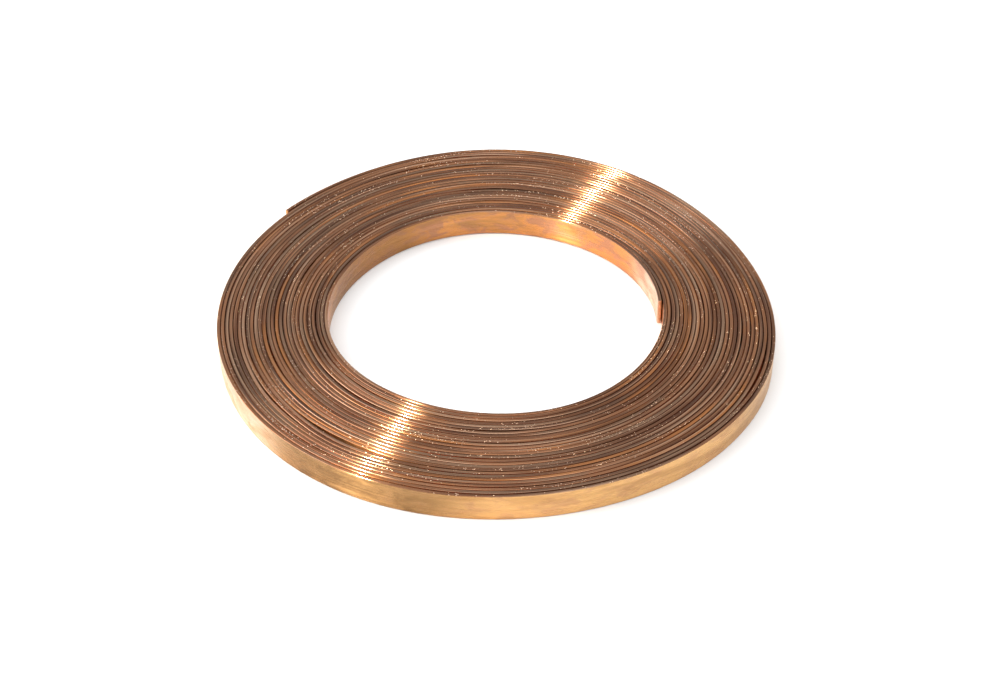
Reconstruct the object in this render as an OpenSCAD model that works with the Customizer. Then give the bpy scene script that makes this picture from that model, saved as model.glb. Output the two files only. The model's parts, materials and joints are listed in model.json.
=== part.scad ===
// Flat coil of bare copper strip: one long strip wound on itself, lying on its edge.
// The origin is at the coil's axis on the surface that it lies on, and +Z is up.
// A place along the strip is given in turns: 0 is where the first full lap starts, at the seam line,
// and the strip spirals outwards and counterclockwise as the turns grow.

/* [Strip] */
// Width of the strip, which stands upright and gives the coil its height
strip_width = 25; // [20:1:40]
// Thickness of the strip
strip_thickness = 3; // [1.5:0.1:4]

/* [Coil] */
// Mean radius of the eye's wall at the inner free end
eye_radius = 140.8; // [120:0.1:200]
// Mean gap between one lap and the next
mean_gap = 0.6; // [0.56:0.02:1.2]
// Number of full laps between the two tails
full_laps = 27; // [12:1:40]
// Direction of the seam line on which every full lap starts and ends, in degrees
seam_azimuth = 50; // [0:5:90]

/* [Tails] */
// How far the outer tail runs past the seam line, in degrees
outer_sweep = 94; // [30:1:120]
// Number of bending segments in the outer tail
outer_segments = 6; // [2:1:8]
// How far the outer free end stands off the lap under it
outer_lift = 1.2; // [0:0.1:2]
// How far the inner tail runs back from the seam line, in degrees
inner_sweep = 48; // [20:2:60]
// Number of bending segments in the inner tail
inner_segments = 3; // [1:1:5]
// How far the inner free end stands off the lap around it
inner_lift = 0.4; // [0:0.1:2]

/* [Unevenness] */
// How much of the coil's out-of-round shape it has
unevenness = 1; // [0:0.1:1]
// How much the laps wander from an even spiral
wander = 1; // [0:0.1:1]
// How far the loose places have sprung apart
looseness = 1; // [0:0.1:1]
// The most that a lap stands above the outermost one
proud = 0.7; // [0.4:0.1:2]

/* [Hidden] */
pitch = strip_thickness + mean_gap;
seam_gap = 0.2;
smallest_gap = 0.03;
step_angle = 5;
gap_test_angle = 3;
lift_sweep = 28;
least_rise = 0.3;
golden_angle = 137.5;
laps_pushed_out = 7;
laps_pushed_in = 5;
share_pushed_out = 0.6;
copper = [0.72, 0.45, 0.3];
inner_end = -inner_sweep / 360;
outer_end = full_laps + outer_sweep / 360;

// Waves round the eye: [crests in a turn, height of a crest, azimuth of a crest]
eye_waves = [
    [1, 2.3, 312],
    [2, 3.2, 4],
    [3, 0.7, 78],
    [4, 0.8, 22]
];
// What each lap adds to the waves, in the same order
added_waves = [
    [1, 0.041, 233],
    [2, 0.069, 106],
    [3, 0.088, 90],
    [4, 0.07, 68]
];
// Waves along the strip that don't fit a whole number to a turn, so that neighbouring laps wander
// differently: [crests in a turn, height]
wander_waves = [
    [1.43, 0.05],
    [2.62, 0.04],
    [6.38, 0.02]
];
// Places where the winding has sprung apart: [lap inside the gap, azimuth, half of its arc, extra gap]
loose_places = [
    [1, 28, 18, 0.6],
    [2, 112, 22, 0.6],
    [3, 188, 20, 0.7],
    [3, 232, 18, 0.6],
    [6, 225, 24, 1.1],
    [6, 271, 16, 0.8],
    [9, 165, 16, 0.6],
    [10, 7, 16, 0.7],
    [10, 90, 16, 1.4],
    [10, 274, 20, 0.7],
    [15, 202, 18, 0.6],
    [15, 270, 14, 0.6],
    [18, 147, 18, 0.5],
    [19, 235, 16, 2.2],
    [19, 350, 14, 0.6],
    [20, 57, 20, 0.5],
    [21, 97, 14, 1],
    [21, 216, 18, 1.2],
    [23, 111, 16, 1.2],
    [25, 97, 20, 1.2],
    [25, 337, 14, 1.2],
    [27, 125, 20, 0.5]
];

function lap_name(lap) = str("lap_", lap < 10 ? "0" : "", lap);
function inner_tail_name(segment) = str("inner_tail_", segment);
function outer_tail_name(segment) = str("outer_tail_", segment);

function azimuth(turn) = seam_azimuth + 360 * turn;
function clamp01(x) = max(0, min(1, x));

function sum(values, i = 0) = i < len(values) ? values[i] + sum(values, i + 1) : 0;

// The eye isn't round, and every lap adds a little to the waves
function waves_at(a, waves) = sum([for (w = waves) w[1] * cos(w[0] * (a - w[2]))]);
function out_of_round(turn) =
    let (a = azimuth(turn))
    unevenness * (waves_at(a, eye_waves) + turn * waves_at(a, added_waves));
function wandering(turn) = wander * sum([for (w = wander_waves) w[1] * sin(360 * w[0] * turn)]);

// A loose place pushes the laps outside it outwards and those inside it inwards, less and less
function loose_turn(place) = place[0] - 1 + ((place[1] - seam_azimuth + 360) % 360) / 360;
function loose_share(laps) = laps >= 1
    ? share_pushed_out * clamp01(1 - (laps - 1) / laps_pushed_out)
    : (share_pushed_out - 1) * clamp01(1 + laps / laps_pushed_in);
function loose_window(off, half_arc) = abs(off) < half_arc ? (1 + cos(180 * off / half_arc)) / 2 : 0;
function loosened(turn, place) =
    let (from_place = turn - loose_turn(place), laps = round(from_place))
    looseness * place[3] * loose_share(laps) * loose_window(360 * (from_place - laps), place[2]);
function loosening(turn) = sum([for (place = loose_places) loosened(turn, place)]);

// The two free ends spring away from the coil
function end_spring(degrees_from_end) = pow(clamp01(1 - degrees_from_end / lift_sweep), 2);
function end_lift(turn) = outer_lift * end_spring(360 * (outer_end - turn))
    - inner_lift * end_spring(360 * (turn - inner_end));

// Radius of the strip's inner face, and of its outer one
function inner_radius(turn) = eye_radius + pitch * (turn - inner_end)
    + out_of_round(turn) + wandering(turn) + loosening(turn) + end_lift(turn);
function outer_radius(turn) = inner_radius(turn) + strip_thickness;
function polar(radius, turn) = radius * [cos(azimuth(turn)), sin(azimuth(turn))];

// Points of the seams on the face that the tails bend about
outer_pivots = [
    for (segment = [0 : outer_segments - 1])
        let (turn = full_laps + segment * outer_sweep / 360 / outer_segments)
        polar(outer_radius(turn), turn)
];
inner_pivots = [
    for (segment = [0 : inner_segments - 1])
        let (turn = segment * inner_end / inner_segments)
        polar(inner_radius(turn), turn)
];

// Height of a lap's lower edge: the outermost carries the coil, and no two neighbours are level
function lap_rise(lap) = lap >= full_laps
    ? 0
    : least_rise + (proud - least_rise) * pow(sin(lap * golden_angle), 2);

// One stretch of upright strip between two turns, short of each seam by half the seam gap
module strip(first_turn, last_turn, rise) {
    half_gap = seam_gap / 2 / (2 * PI * inner_radius(first_turn));
    start = first_turn > inner_end ? first_turn + half_gap : first_turn;
    end = last_turn < outer_end ? last_turn - half_gap : last_turn;
    steps = ceil(360 * (end - start) / step_angle);
    turns = [for (i = [0 : steps]) start + (end - start) * i / steps];
    turns_back = [for (i = [steps : -1 : 0]) turns[i]];
    color(copper)
        translate([0, 0, rise])
            linear_extrude(strip_width)
                polygon(concat(
                    [for (turn = turns) polar(outer_radius(turn), turn)],
                    [for (turn = turns_back) polar(inner_radius(turn), turn)]
                ));
}

module lap(lap) {
    strip(lap - 1, lap, lap_rise(lap));
}

// Segments are numbered from the coil towards the free end
module inner_tail(segment) {
    sweep = inner_end / inner_segments;
    strip(segment * sweep, (segment - 1) * sweep, lap_rise(1));
}

module outer_tail(segment) {
    sweep = outer_sweep / 360 / outer_segments;
    strip(full_laps + (segment - 1) * sweep, full_laps + segment * sweep, 0);
}

gaps = [
    for (turn = [inner_end : gap_test_angle / 360 : outer_end - 1])
        inner_radius(turn + 1) - outer_radius(turn)
];
assert(min(gaps) >= smallest_gap, str("two laps come within ", min(gaps), " mm"));

for (lap = [1 : full_laps]) {
    lap(lap);
}
for (segment = [1 : inner_segments]) {
    inner_tail(segment);
}
for (segment = [1 : outer_segments]) {
    outer_tail(segment);
}
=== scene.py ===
import json
import math
import bpy
import numpy as np
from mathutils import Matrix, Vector


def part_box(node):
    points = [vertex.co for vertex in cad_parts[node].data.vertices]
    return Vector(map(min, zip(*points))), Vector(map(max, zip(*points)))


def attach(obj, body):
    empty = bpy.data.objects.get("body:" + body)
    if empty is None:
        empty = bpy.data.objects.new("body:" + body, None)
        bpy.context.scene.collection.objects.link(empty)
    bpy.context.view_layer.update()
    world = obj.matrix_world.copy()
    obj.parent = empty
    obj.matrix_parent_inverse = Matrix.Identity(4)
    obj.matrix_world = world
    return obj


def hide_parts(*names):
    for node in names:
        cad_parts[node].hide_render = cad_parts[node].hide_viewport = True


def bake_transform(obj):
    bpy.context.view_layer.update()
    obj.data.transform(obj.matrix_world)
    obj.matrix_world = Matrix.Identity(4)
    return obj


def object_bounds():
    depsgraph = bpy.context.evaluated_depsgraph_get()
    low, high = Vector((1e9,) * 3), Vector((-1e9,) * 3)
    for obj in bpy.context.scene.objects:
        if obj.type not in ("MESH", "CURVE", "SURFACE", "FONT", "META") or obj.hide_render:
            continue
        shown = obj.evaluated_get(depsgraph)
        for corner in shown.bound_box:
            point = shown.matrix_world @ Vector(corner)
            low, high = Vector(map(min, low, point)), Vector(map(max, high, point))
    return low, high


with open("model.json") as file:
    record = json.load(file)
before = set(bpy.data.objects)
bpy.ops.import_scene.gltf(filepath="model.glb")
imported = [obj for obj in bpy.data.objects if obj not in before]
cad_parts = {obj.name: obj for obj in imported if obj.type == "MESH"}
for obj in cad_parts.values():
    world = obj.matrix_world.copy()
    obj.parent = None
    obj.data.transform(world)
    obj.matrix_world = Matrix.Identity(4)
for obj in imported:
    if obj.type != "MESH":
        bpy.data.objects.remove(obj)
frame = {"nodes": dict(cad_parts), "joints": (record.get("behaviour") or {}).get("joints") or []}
CAD_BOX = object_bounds()

# ---------------------------------------------------------------------------------------------
# The coil as the frame gives it. A place along the strip is an angle in degrees from the seam
# line where the first full lap starts, and it grows outwards and counterclockwise.
# ---------------------------------------------------------------------------------------------

LAPS = sorted(name for name in frame["nodes"] if name.startswith("lap_"))
INNER_TAIL = sorted(name for name in frame["nodes"] if name.startswith("inner_tail_"))
OUTER_TAIL = sorted(name for name in frame["nodes"] if name.startswith("outer_tail_"))
FIRST_OUTER_HINGE = next(j for j in frame["joints"] if j["child"] == OUTER_TAIL[0])
SEAM = math.degrees(math.atan2(FIRST_OUTER_HINGE["pos_m"][1], FIRST_OUTER_HINGE["pos_m"][0]))
FULL_SWEEP = 360.0 * len(LAPS)

STRIP_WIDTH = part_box(LAPS[-1])[1].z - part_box(LAPS[-1])[0].z
COIL_RADIUS = (CAD_BOX[1].x - CAD_BOX[0].x + CAD_BOX[1].y - CAD_BOX[0].y) / 4

# a swept stretch has a section at least every so many degrees
STEP = 2.0
CORNER_RADIUS = 0.0006
CORNER_FACETS = 4
# stations closer than this, in degrees, are one station on either side of a seam
SAME_STATION = 0.6
# where a node's angles start, so that none of its stations wraps round past a whole turn
JUST_BEFORE_SEAM = -0.01
OPPOSITE_SEAM = -180.0


def stations(node, wrap_from):
    """Angle from the seam line, inner radius and outer radius at each station of a CAD node."""
    co = np.array([v.co[:2] for v in frame["nodes"][node].data.vertices])
    turned = np.degrees(np.arctan2(co[:, 1], co[:, 0])) - SEAM
    angle = (turned - wrap_from) % 360.0 + wrap_from
    radius = np.hypot(co[:, 0], co[:, 1])
    order = np.argsort(angle)
    angle, radius = angle[order], radius[order]
    groups = np.split(np.arange(len(angle)), np.flatnonzero(np.diff(angle) > SAME_STATION) + 1)
    return [(angle[g].mean(), radius[g].min(), radius[g].max()) for g in groups]


def whole_strip():
    """Stations of the whole strip from its inner end to its outer end, in order."""
    found = []
    for name in INNER_TAIL:
        found += stations(name, OPPOSITE_SEAM)
    for turn, name in enumerate(LAPS):
        found += [(360.0 * turn + a, r0, r1) for a, r0, r1 in stations(name, JUST_BEFORE_SEAM)]
    for name in OUTER_TAIL:
        found += [(FULL_SWEEP + a, r0, r1) for a, r0, r1 in stations(name, JUST_BEFORE_SEAM)]
    found.sort()
    merged = [found[0]]
    for here in found[1:]:
        if here[0] - merged[-1][0] < SAME_STATION:
            merged[-1] = tuple((a + b) / 2 for a, b in zip(merged[-1], here))
        else:
            merged.append(here)
    return np.array(merged)


STRIP = whole_strip()
INNER_END, OUTER_END = STRIP[0, 0], STRIP[-1, 0]
STRIP_THICKNESS = float(np.median(STRIP[:, 2] - STRIP[:, 1]))
SLOPES = np.gradient(STRIP[:, 1], STRIP[:, 0])
STATION_ANGLE = math.radians(float(np.median(np.diff(STRIP[:, 0]))))
# the frame's laps are polygons, and a smooth lap bulges past their chords by up to this much
CHORD_BULGE = COIL_RADIUS * (1 - math.cos(STATION_ANGLE / 2))
LAP_FLOORS = np.array([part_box(name)[0].z for name in LAPS])


def inner_radius(angle):
    """Radius of the strip's inner face: a smooth cubic through the frame's stations."""
    i = np.clip(np.searchsorted(STRIP[:, 0], angle) - 1, 0, len(STRIP) - 2)
    a, b = STRIP[i, 0], STRIP[i + 1, 0]
    t = np.clip((angle - a) / (b - a), 0.0, 1.0)
    rise = STRIP[i + 1, 1] - STRIP[i, 1]
    m0, m1 = SLOPES[i] * (b - a), SLOPES[i + 1] * (b - a)
    curve = t * m0 + t**2 * (3 * rise - 2 * m0 - m1) + t**3 * (m0 + m1 - 2 * rise)
    return STRIP[i, 1] + curve - CHORD_BULGE


def smooth(t):
    """Ease from 0 to 1 as t goes from 0 to 1."""
    t = np.clip(t, 0.0, 1.0)
    return t * t * (3 - 2 * t)


def strip_floor(angle):
    """Height of the strip's lower edge: each lap's own at its middle, easing to the next lap's."""
    turn = np.asarray(angle) / 360.0 - 0.5
    low = np.clip(np.floor(turn), 0, len(LAPS) - 1).astype(int)
    high = np.clip(low + 1, 0, len(LAPS) - 1)
    return LAP_FLOORS[low] + (LAP_FLOORS[high] - LAP_FLOORS[low]) * smooth(turn - low)


# Stretches of the strip's faces with painted light, as (middle, half length, strength), with the
# first two in degrees. The first list is a painted pale sheen where light falls on the faces, and the
# second is painted shade where the faces reflect dark surroundings.
# The outer face starts one turn back from the outer end, and the eye's wall is the first turn.
RIM_START = OUTER_END - 360.0
PAINTED_SHEEN_STRETCHES = [(RIM_START + 60.0, 24.0, 0.9), (INNER_END + 6.0, 26.0, 1.0)]
# painted shade: darker where the faces reflect dark surroundings
PAINTED_SHADE_STRETCHES = [(RIM_START + 98.0, 30.0, 1.0), (RIM_START + 200.0, 26.0, 0.3),
                  (INNER_END + 143.0, 38.0, 0.75), (INNER_END + 92.0, 36.0, 0.2)]
# above 1, a stretch reaches its full strength before its middle
PAINTED_LIGHT_STEEPNESS = 1.6


def painted_light_strength(angle, stretches):
    """How strong the painted light is at each place: its strength in the middle of a stretch, 0 outside."""
    total = np.zeros(len(angle))
    for middle, half, strength in stretches:
        total += strength * smooth((1.0 - np.abs(angle - middle) / half) * PAINTED_LIGHT_STEEPNESS)
    return np.clip(total, 0.0, 1.0)


def hidden(angle):
    """1 on the faces that lie against another lap, and 0 on the rim's face and the eye's wall."""
    behind_eye = angle > INNER_END + 360.0
    inside_rim = angle < RIM_START
    return np.where(INNER_SIDE[None, :], behind_eye[:, None], inside_rim[:, None]).astype(float)


def eye_wall(angle):
    """1 on the face that can be seen in the eye, and 0 elsewhere."""
    in_eye = angle < INNER_END + 360.0
    return (INNER_SIDE[None, :] & in_eye[:, None]).astype(float)


# ---------------------------------------------------------------------------------------------
# Mesh: a rounded section swept along the strip
# ---------------------------------------------------------------------------------------------

def section():
    """The strip's section as (across, up, normal across, normal up), counterclockwise, corners round."""
    points = []
    corners = [(1, 0, -90), (1, 1, 0), (0, 1, 90), (0, 0, 180)]
    for across, up, start in corners:
        cx = across * STRIP_THICKNESS + (1 - 2 * across) * CORNER_RADIUS
        cy = up * STRIP_WIDTH + (1 - 2 * up) * CORNER_RADIUS
        for i in range(CORNER_FACETS + 1):
            a = math.radians(start + 90.0 * i / CORNER_FACETS)
            nx, ny = math.cos(a), math.sin(a)
            points.append((cx + CORNER_RADIUS * nx, cy + CORNER_RADIUS * ny, nx, ny))
    return np.array(points)


SECTION = section()
AROUND = len(SECTION)
INNER_SIDE = SECTION[:, 0] < STRIP_THICKNESS / 2
CLOSED_SECTION = np.vstack([SECTION, SECTION[:1]])[:, :2]
GIRTH = np.concatenate([[0.0], np.cumsum(np.hypot(*np.diff(CLOSED_SECTION, axis=0).T))])


def run_length(angle):
    """Length of strip from the seam line of the first lap to a place, for coordinates along it."""
    fine = np.arange(INNER_END, OUTER_END + STEP, STEP)
    steps = np.radians(STEP) * (inner_radius(fine) + STRIP_THICKNESS / 2)
    return np.interp(angle, fine, np.concatenate([[0.0], np.cumsum(steps)[:-1]]))


def sweep_faces(count):
    """Quads between the sections, and then a flat end cap at each end."""
    faces = []
    for s in range(count - 1):
        for p in range(AROUND):
            q = (p + 1) % AROUND
            a, b = s * AROUND + p, s * AROUND + q
            faces.append((a, a + AROUND, b + AROUND, b))
    faces.append(tuple(range(AROUND)))
    faces.append(tuple(reversed(range((count - 1) * AROUND, count * AROUND))))
    return faces


def shade_sweep(mesh, out, along):
    """Smooth sides, flat cut ends, and coordinates round and along the strip.

    The normals are the section's own, so that one stretch runs on into the next without a crease.
    """
    sides = len(mesh.polygons) - 2
    normals = np.zeros((len(mesh.loops), 3))
    uvs = np.zeros((len(mesh.loops), 2))
    for poly in mesh.polygons:
        on_side = poly.index < sides
        poly.use_smooth = on_side
        for k in poly.loop_indices:
            s, p = divmod(mesh.loops[k].vertex_index, AROUND)
            closes_girth = on_side and p == 0 and k - poly.loop_start in (2, 3)
            uvs[k] = GIRTH[AROUND if closes_girth else p], along[s]
            if on_side:
                across, up = SECTION[p, 2:]
                normals[k] = across * out[s, 0], across * out[s, 1], up
            else:
                normals[k] = poly.normal
    mesh.uv_layers.new(name="strip").data.foreach_set("uv", uvs.ravel())
    mesh.normals_split_custom_set(normals.tolist())


def add_layer(mesh, name, values):
    layer = mesh.attributes.new(name, "FLOAT", "POINT")
    layer.data.foreach_set("value", values.astype(np.float32))


def sweep(name, start, end):
    """One stretch of strip from angle start to angle end, closed at both ends."""
    count = max(2, math.ceil((end - start) / STEP) + 1)
    angles = np.linspace(start, end, count)
    azimuth = np.radians(angles + SEAM)
    out = np.stack([np.cos(azimuth), np.sin(azimuth)], axis=1)
    radius = inner_radius(angles)[:, None] + SECTION[None, :, 0]
    height = strip_floor(angles)[:, None] + SECTION[None, :, 1]
    xy = out[:, None, :] * radius[:, :, None]
    verts = np.concatenate([xy, height[:, :, None]], axis=2).reshape(-1, 3)
    mesh = bpy.data.meshes.new(name)
    mesh.from_pydata(verts.tolist(), [], sweep_faces(count))
    mesh.update()
    shade_sweep(mesh, out, run_length(angles))
    # how strong the painted sheen and the painted shade are at each station
    add_layer(mesh, "painted_sheen", np.repeat(painted_light_strength(angles, PAINTED_SHEEN_STRETCHES), AROUND))
    add_layer(mesh, "painted_shade", np.repeat(painted_light_strength(angles, PAINTED_SHADE_STRETCHES), AROUND))
    add_layer(mesh, "hidden", hidden(angles).ravel())
    add_layer(mesh, "eye_wall", eye_wall(angles).ravel())
    obj = bpy.data.objects.new(name, mesh)
    bpy.context.scene.collection.objects.link(obj)
    return obj


# ---------------------------------------------------------------------------------------------
# Materials
# ---------------------------------------------------------------------------------------------

class Nodes:
    """A few short calls for building a node tree."""

    def __init__(self, owner):
        owner.use_nodes = True
        self.tree = owner.node_tree
        self.tree.nodes.clear()

    def add(self, kind, settings=None, **inputs):
        """A node. Each input is a socket's name, with _ for a space, or _ and the socket's number."""
        node = self.tree.nodes.new(kind)
        for key, value in (settings or {}).items():
            setattr(node, key, value)
        for key, value in inputs.items():
            by_number = key[1:].isdigit()
            socket = node.inputs[int(key[1:]) if by_number else key.replace("_", " ")]
            if isinstance(value, bpy.types.NodeSocket):
                self.tree.links.new(value, socket)
            else:
                socket.default_value = value
        return node

    def math(self, operation, a, b=0.0):
        return self.add("ShaderNodeMath", {"operation": operation}, _0=a, _1=b).outputs[0]

    def attribute(self, name):
        return self.add("ShaderNodeAttribute", {"attribute_name": name}).outputs["Fac"]

    def stretch(self, strip, across, along):
        """The strip's coordinates, in so many steps to a metre across it and along it."""
        return self.add("ShaderNodeMapping", Vector=strip, Scale=(across, along, 1.0)).outputs[0]

    def noise(self, strip, across, along, detail, roughness, distortion=0.0):
        node = self.add("ShaderNodeTexNoise", Vector=self.stretch(strip, across, along), Scale=1.0,
                        Detail=detail, Roughness=roughness, Distortion=distortion)
        return node.outputs["Fac"]

    def ramp(self, value, low, high, to_low=0.0, to_high=1.0):
        """Ease from to_low to to_high as the value goes from low to high."""
        node = self.add("ShaderNodeMapRange", {"interpolation_type": "SMOOTHSTEP"}, Value=value)
        node.inputs["From Min"].default_value = low
        node.inputs["From Max"].default_value = high
        node.inputs["To Min"].default_value = to_low
        node.inputs["To Max"].default_value = to_high
        return node.outputs[0]

    def mix(self, factor, a, b):
        """Colour a, or colour b where the factor is 1."""
        return self.add("ShaderNodeMix", {"data_type": "RGBA"}, _0=factor, _6=a, _7=b).outputs[2]

    def bump(self, height, strength, depth, under=None):
        """Relief of a depth in metres, on top of another relief if there is one."""
        node = self.add("ShaderNodeBump", Height=height, Strength=strength, Distance=depth)
        if under is not None:
            self.tree.links.new(under, node.inputs["Normal"])
        return node


def rgb(r, g, b):
    return (r, g, b, 1.0)


WHITE = rgb(1.0, 1.0, 1.0)
FLOOR_WHITE = rgb(0.92, 0.92, 0.92)

# Colours of the strip's broad faces, of its narrow edges, and of small dents in the edges
FACE_GOLD = rgb(0.80, 0.46, 0.185)
FACE_PINK = rgb(0.70, 0.385, 0.18)
# the eye's wall: deeper orange and rose, partly its own tarnish and partly painted warm light from the
# copper across the eye
FACE_ORANGE = rgb(0.76, 0.33, 0.11)
FACE_ROSE = rgb(0.56, 0.26, 0.14)
FACE_BRIGHT = rgb(0.90, 0.60, 0.33)
FACE_BROWN = rgb(0.46, 0.23, 0.08)
# painted shade on the rim's face and the eye's wall, and dark stains on faces against another lap
FACE_SHADE_AND_DARK_STAIN = rgb(0.24, 0.13, 0.055)
# painted sheen: a pale haze where the light falls on the faces
FACE_PAINTED_SHEEN = rgb(0.73, 0.61, 0.50)
FACE_HIDDEN = rgb(0.76, 0.27, 0.105)
EDGE_BROWN = rgb(0.62, 0.29, 0.15)
EDGE_GREY = rgb(0.50, 0.30, 0.19)
EDGE_ORANGE = rgb(0.84, 0.34, 0.12)
EDGE_DARK = rgb(0.19, 0.09, 0.06)
EDGE_LIGHT = rgb(0.95, 0.60, 0.40)
NICK = rgb(1.0, 0.70, 0.54)
FACE_ROUGHNESS = 0.24
EDGE_ROUGHNESS = 0.155
NICK_ROUGHNESS = 0.3

# Depths of the relief in metres
WAVE_DEPTH = 0.0007
LINE_DEPTH = 0.00012
GRAIN_DEPTH = 0.00003
NICK_DEPTH = 0.0002

# Nicks stand in cells, so many to a metre across the strip and along it
NICKS_ACROSS = 1300.0
NICKS_ALONG = 850.0
# share of the cells without a nick where nicks are rare, and where they are crowded
EMPTY_WHERE_RARE = 0.995
EMPTY_WHERE_CROWDED = 0.76
# a nick's radius in cells, and how much larger the largest ones are
NICK_RADIUS = 0.24
NICK_SPREAD = 0.25


def strip_noises(n, strip):
    """Noises by name: steps to a metre across and along, then detail, roughness and distortion."""
    return {
        # rolled lines, and wider bands of tarnish
        "lines": n.noise(strip, 1300.0, 7.0, 2.0, 0.6),
        "bands": n.noise(strip, 420.0, 5.0, 2.0, 0.5),
        # spots and long stains on the faces, and fine grain
        "blotches": n.noise(strip, 90.0, 45.0, 5.0, 0.65, 0.6),
        "stains": n.noise(strip, 70.0, 11.0, 4.0, 0.6, 1.2),
        "grain": n.noise(strip, 1100.0, 420.0, 3.0, 0.7),
        # darkness and warmth that change slowly along the edges
        "tone": n.noise(strip, 1.0, 5.5, 3.0, 0.6),
        "warmth": n.noise(strip, 1.0, 4.3, 3.0, 0.6, 0.6),
        # slight waves in the faces, and how many nicks there are
        "waves": n.noise(strip, 60.0, 22.0, 1.0, 0.5),
        "crowding": n.noise(strip, 1.0, 9.0, 2.0, 0.5),
    }


def face_colour(n, noises):
    """Colour of the broad faces: clean metal, then the eye's wall, stains, painted shade and painted sheen,
    hidden faces.
    """
    blotches, stains = noises["blotches"], noises["stains"]
    in_eye = n.attribute("eye_wall")
    face = n.mix(n.ramp(blotches, 0.42, 0.68), FACE_GOLD, FACE_PINK)
    face = n.mix(n.ramp(noises["lines"], 0.5, 0.8, 0.0, 0.3), face, FACE_BRIGHT)
    # the eye's wall is deeper orange and rose: partly tarnish, partly painted warm light reflected from the
    # copper across the eye
    face = n.mix(in_eye, face, n.mix(n.ramp(blotches, 0.42, 0.58), FACE_ORANGE, FACE_ROSE))
    stained = n.math("ADD", n.math("MULTIPLY", in_eye, 0.35), 0.5)
    face = n.mix(n.math("MULTIPLY", n.ramp(stains, 0.45, 0.68), stained), face, FACE_BROWN)
    # painted shade: the faces darker, mottled, where they reflect dark surroundings
    painted_shade = n.math("MULTIPLY", n.attribute("painted_shade"), n.ramp(blotches, 0.35, 0.6, 0.95, 0.7))
    face = n.mix(painted_shade, face, FACE_SHADE_AND_DARK_STAIN)
    # painted sheen: the faces turn pale where the light falls on them
    painted_sheen = n.math("MULTIPLY", n.attribute("painted_sheen"), n.ramp(blotches, 0.35, 0.62, 1.0, 0.35))
    face = n.mix(painted_sheen, face, FACE_PAINTED_SHEEN)
    # on faces against another lap, the same dark colour is mixed in as dark stains
    against = n.mix(n.ramp(stains, 0.4, 0.6, 0.15, 0.8), FACE_HIDDEN, FACE_SHADE_AND_DARK_STAIN)
    return n.mix(n.attribute("hidden"), face, against)


def edge_colour(n, noises):
    """Colour of the narrow edges: slow changes of tarnish, then dark bands and bright rolled lines."""
    bands = noises["bands"]
    edge = n.mix(n.ramp(noises["warmth"], 0.4, 0.5), EDGE_GREY, EDGE_BROWN)
    edge = n.mix(n.ramp(noises["warmth"], 0.55, 0.64, 0.0, 0.9), edge, EDGE_ORANGE)
    edge = n.mix(n.ramp(noises["tone"], 0.36, 0.56, 0.7, 0.0), edge, EDGE_DARK)
    edge = n.mix(n.ramp(bands, 0.5, 0.6, 0.0, 0.65), edge, EDGE_DARK)
    edge = n.mix(n.ramp(bands, 0.36, 0.44, 0.6, 0.0), edge, EDGE_LIGHT)
    edge = n.mix(n.ramp(noises["lines"], 0.52, 0.75, 0.0, 0.4), edge, EDGE_LIGHT)
    return n.mix(n.ramp(noises["grain"], 0.58, 0.75, 0.0, 0.45), edge, EDGE_LIGHT)


def nicks(n, strip, noises, on_edge):
    """1 in the small dents in the edges that catch the light, crowded in some places and rare in others."""
    cells = n.add("ShaderNodeTexVoronoi", {"feature": "F1"}, Scale=1.0, Randomness=1.0,
                  Vector=n.stretch(strip, NICKS_ACROSS, NICKS_ALONG))
    lottery = n.add("ShaderNodeSeparateColor", _0=cells.outputs["Color"])
    empty = n.ramp(noises["crowding"], 0.49, 0.67, EMPTY_WHERE_RARE, EMPTY_WHERE_CROWDED)
    chosen = n.math("GREATER_THAN", lottery.outputs[0], empty)
    radius = n.math("ADD", n.math("MULTIPLY", lottery.outputs[1], NICK_SPREAD), NICK_RADIUS)
    spot = n.math("GREATER_THAN", radius, cells.outputs["Distance"])
    return n.math("MULTIPLY", n.math("MULTIPLY", spot, chosen), on_edge)


def copper_roughness(n, noises, on_edge, nick):
    rough = n.ramp(noises["lines"], 0.3, 0.75, -0.02, 0.04)
    rough = n.math("ADD", rough, n.ramp(noises["blotches"], 0.45, 0.7, 0.0, 0.05))
    rough = n.math("ADD", rough, n.ramp(noises["bands"], 0.35, 0.65, -0.03, 0.04))
    rough = n.math("ADD", rough, n.math("MULTIPLY", on_edge, EDGE_ROUGHNESS - FACE_ROUGHNESS))
    rough = n.math("ADD", rough, FACE_ROUGHNESS)
    return n.math("ADD", rough, n.math("MULTIPLY", nick, NICK_ROUGHNESS))


def copper_relief(n, noises, nick):
    """Slight waves, rolled lines, grain and sunken nicks, each on top of the one before."""
    waves = n.bump(noises["waves"], 1.0, WAVE_DEPTH)
    both = n.math("ADD", noises["lines"], noises["bands"])
    lines = n.bump(both, 0.5, LINE_DEPTH, waves.outputs[0])
    grain = n.bump(noises["grain"], 0.3, GRAIN_DEPTH, lines.outputs[0])
    dents = n.bump(nick, 0.6, NICK_DEPTH, grain.outputs[0])
    dents.invert = True
    return dents.outputs[0]


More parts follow.
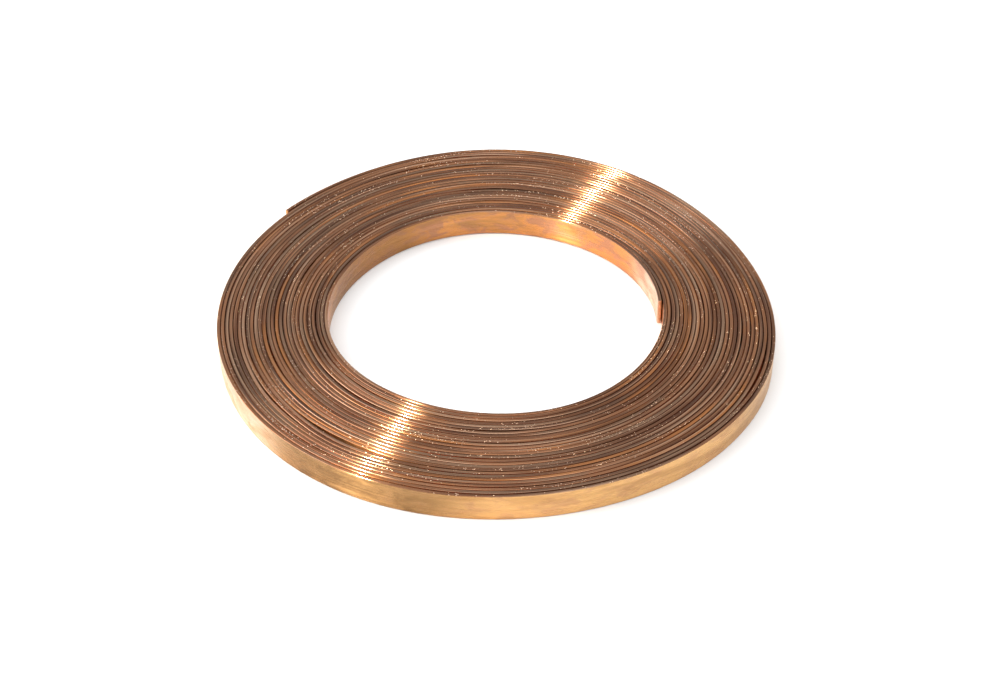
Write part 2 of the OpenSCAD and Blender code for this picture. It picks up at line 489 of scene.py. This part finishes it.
def copper_material():
    material = bpy.data.materials.new("bare_copper")
    n = Nodes(material)
    strip = n.add("ShaderNodeUVMap", {"uv_map": "strip"}).outputs[0]
    normal = n.add("ShaderNodeNewGeometry").outputs["Normal"]
    normal_z = n.add("ShaderNodeSeparateXYZ", _0=normal).outputs[2]
    on_edge = n.ramp(n.math("ABSOLUTE", normal_z), 0.2, 0.6)
    noises = strip_noises(n, strip)
    nick = nicks(n, strip, noises, on_edge)
    colour = n.mix(on_edge, face_colour(n, noises), edge_colour(n, noises))
    colour = n.mix(nick, colour, NICK)

    # the rolled lines stretch the reflections across the strip
    tangent = n.add("ShaderNodeTangent", {"direction_type": "UV_MAP", "uv_map": "strip"})
    shader = n.add("ShaderNodeBsdfPrincipled", Base_Color=colour, Tangent=tangent.outputs[0],
                   Roughness=copper_roughness(n, noises, on_edge, nick),
                   Normal=copper_relief(n, noises, nick))
    shader.inputs["Metallic"].default_value = 1.0
    shader.inputs["Anisotropic"].default_value = 1.0
    n.add("ShaderNodeOutputMaterial", Surface=shader.outputs[0])
    return material


def floor_material():
    material = bpy.data.materials.new("pale_floor")
    n = Nodes(material)
    shader = n.add("ShaderNodeBsdfPrincipled")
    shader.inputs["Base Color"].default_value = FLOOR_WHITE
    shader.inputs["Roughness"].default_value = 1.0
    shader.inputs["Specular IOR Level"].default_value = 0.0
    n.add("ShaderNodeOutputMaterial", Surface=shader.outputs[0])
    return material


COPPER = copper_material()


def dress(piece):
    """Give a piece the copper."""
    piece.data.materials.append(COPPER)
    return piece


# ---------------------------------------------------------------------------------------------
# Pieces: each lap in two halves. The first half moves with its lap, and the second climbs from its
# lap to the next one.
# ---------------------------------------------------------------------------------------------

def hinge_angles(names):
    """How far the hinge of each tail segment is from the seam line, in degrees."""
    return [abs(math.degrees(math.atan2(j["pos_m"][1], j["pos_m"][0])) - SEAM)
            for name in names for j in frame["joints"] if j["child"] == name]


OUTER_HINGES = [FULL_SWEEP + a for a in hinge_angles(OUTER_TAIL)]
INNER_HINGES = [-a for a in hinge_angles(INNER_TAIL)]
# half the sweep of a segment of each tail
OUTER_HALF = (OUTER_END - OUTER_HINGES[-1]) / 2
INNER_HALF = (INNER_HINGES[-1] - INNER_END) / 2


def lap_pieces():
    """Two halves of each lap. The first and the last lap stop short for the bends of the tails."""
    for turn, name in enumerate(LAPS):
        start, end = 360.0 * turn, 360.0 * (turn + 1)
        middle = start + 180.0
        if turn == 0:
            start += INNER_HALF
        if turn == len(LAPS) - 1:
            end -= OUTER_HALF
        first = dress(sweep(name + "_level", start, middle))
        second = dress(sweep(name + "_climb", middle, end))
        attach(first, name)
        if turn == len(LAPS) - 1:
            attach(second, name)
        else:
            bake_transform(second)
        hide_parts(name)


def tail_pieces(names, hinges, half, last, sign):
    """Bends from the middle of one segment to the middle of the next, and a plain free end.

    The sign is 1 where the angles grow towards the free end, and -1 where they fall.
    """
    for i, hinge in enumerate(hinges):
        near, far = hinge - sign * half, hinge + sign * half
        bend = dress(sweep(names[i] + "_bend", min(near, far), max(near, far)))
        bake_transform(bend)
        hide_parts(names[i])
    near = hinges[-1] + sign * half
    end = dress(sweep(names[-1] + "_end", min(near, last), max(near, last)))
    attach(end, names[-1])


lap_pieces()
tail_pieces(OUTER_TAIL, OUTER_HINGES, OUTER_HALF, OUTER_END, 1)
tail_pieces(INNER_TAIL, INNER_HINGES, INNER_HALF, INNER_END, -1)

# ---------------------------------------------------------------------------------------------
# Floor, light and camera
# ---------------------------------------------------------------------------------------------

CAMERA_ELEVATION = 39.7
CAMERA_DISTANCE = 6.95 * COIL_RADIUS
CAMERA_TARGET = Vector((0.0, -0.0125 * COIL_RADIUS, 0.0))
CAMERA_SHIFT_X = 0.0063
CAMERA_SHIFT_Y = -0.0085
LENS = 68.3
SENSOR_WIDTH = 36.0
FLOOR_HALF_SIZE = 14.0
# how far the floor lies under the strip, so that their surfaces don't meet
FLOOR_DROP = 0.0002
KEY_AZIMUTH = 203.0
KEY_ELEVATION = 55.0
KEY_LIGHT = 9.0
KEY_COLOUR = (1.0, 0.95, 0.74)
KEY_ANGLE = 0.6
FILL_ELEVATION = 90.0
FILL_LIGHT = 2.5
FILL_ANGLE = 170.0
SKY_HORIZON = 0.3
SKY_MIDDLE = 0.5
SKY_OVERHEAD = 1.0
WINDOW_AZIMUTH = 180.0
WINDOW_ELEVATION = 38.0
WINDOW_LIGHT = 2.5


def direction(azimuth, elevation):
    """Unit vector towards an azimuth, counterclockwise from +X, and an elevation."""
    a, e = math.radians(azimuth), math.radians(elevation)
    return Vector((math.cos(a) * math.cos(e), math.sin(a) * math.cos(e), math.sin(e)))


def make_floor():
    signs = [(-1, -1), (1, -1), (1, 1), (-1, 1)]
    corners = [(x * FLOOR_HALF_SIZE, y * FLOOR_HALF_SIZE, 0) for x, y in signs]
    mesh = bpy.data.meshes.new("floor")
    mesh.from_pydata(corners, [], [(0, 1, 2, 3)])
    floor = bpy.data.objects.new("floor", mesh)
    floor.location.z = -FLOOR_DROP
    bpy.context.scene.collection.objects.link(floor)
    mesh.materials.append(floor_material())


def make_sun(name, azimuth, elevation, energy, angle):
    """A lamp far away. The wider its angle, the softer its shadows."""
    lamp = bpy.data.lights.new(name, "SUN")
    lamp.energy = energy
    lamp.angle = math.radians(angle)
    sun = bpy.data.objects.new(name, lamp)
    sun.rotation_euler = (-direction(azimuth, elevation)).to_track_quat("-Z", "Y").to_euler()
    bpy.context.scene.collection.objects.link(sun)
    return sun


def make_lamps():
    """A small lamp for the metal's highlights, and a very soft one that lights only the floor."""
    key = make_sun("key", KEY_AZIMUTH, KEY_ELEVATION, KEY_LIGHT, KEY_ANGLE)
    key.data.color = KEY_COLOUR
    key.visible_diffuse = False
    fill = make_sun("fill", KEY_AZIMUTH, FILL_ELEVATION, FILL_LIGHT, FILL_ANGLE)
    fill.visible_glossy = False


def make_sky():
    """A soft studio dome, dim at the horizon and bright overhead, with a soft window to the left."""
    world = bpy.data.worlds.new("studio")
    n = Nodes(world)
    towards = n.add("ShaderNodeTexCoord").outputs["Generated"]
    height = n.add("ShaderNodeSeparateXYZ", _0=towards).outputs[2]
    window = n.add("ShaderNodeVectorMath", {"operation": "DOT_PRODUCT"}, _0=towards,
                   _1=direction(WINDOW_AZIMUTH, WINDOW_ELEVATION)).outputs["Value"]
    light = n.ramp(height, 0.15, 0.5, SKY_HORIZON, SKY_MIDDLE)
    light = n.math("ADD", light, n.ramp(height, 0.92, 0.97, 0.0, SKY_OVERHEAD))
    light = n.math("ADD", light, n.ramp(window, 0.86, 0.96, 0.0, WINDOW_LIGHT))
    background = n.add("ShaderNodeBackground", Color=WHITE, Strength=light)
    n.add("ShaderNodeOutputWorld", Surface=background.outputs[0])
    bpy.context.scene.world = world


def make_camera():
    data = bpy.data.cameras.new("camera")
    data.lens = LENS
    data.sensor_width = SENSOR_WIDTH
    data.shift_x = CAMERA_SHIFT_X
    data.shift_y = CAMERA_SHIFT_Y
    data.dof.use_dof = False
    camera = bpy.data.objects.new("camera", data)
    towards = direction(-90, CAMERA_ELEVATION)
    camera.location = CAMERA_TARGET + towards * CAMERA_DISTANCE
    camera.rotation_euler = (-towards).to_track_quat("-Z", "Y").to_euler()
    bpy.context.scene.collection.objects.link(camera)
    bpy.context.scene.camera = camera


make_floor()
make_lamps()
make_sky()
make_camera()
bpy.context.scene.view_settings.view_transform = "Standard"
